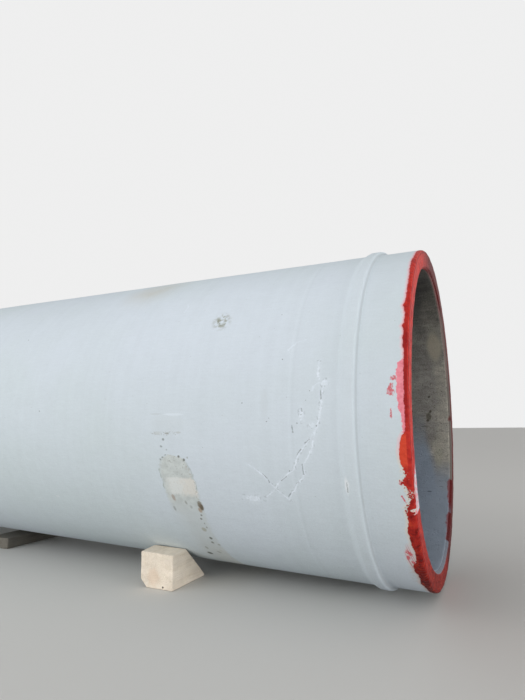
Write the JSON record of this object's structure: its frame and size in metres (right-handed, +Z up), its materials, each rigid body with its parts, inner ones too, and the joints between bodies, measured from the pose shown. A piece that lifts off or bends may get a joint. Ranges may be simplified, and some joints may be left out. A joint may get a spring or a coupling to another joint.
{
  "type": "concrete culvert pipe",
  "caption": "Bell-and-spigot concrete pipe with a flared socket, a stop ridge behind the spigot and a painted rim, lying on its side with a timber wedge.",
  "frame": {"origin": "centre of the footprint, on the floor that the pipe lies on", "axes": "+X along the pipe towards the spigot end, -Y towards the side with the wedge, +Z up"},
  "size_m": [5.1809, 1.1578, 1.1599],
  "materials": {
    "coated_concrete": "matte coat, red rims",
    "wedge_timber": "sawn",
    "board_timber": "weathered"
  },
  "bodies": {
    "root": {"pipe": "coated_concrete", "wedge_chock": "wedge_timber", "packing_board": "board_timber"}
  },
  "joints": []
}
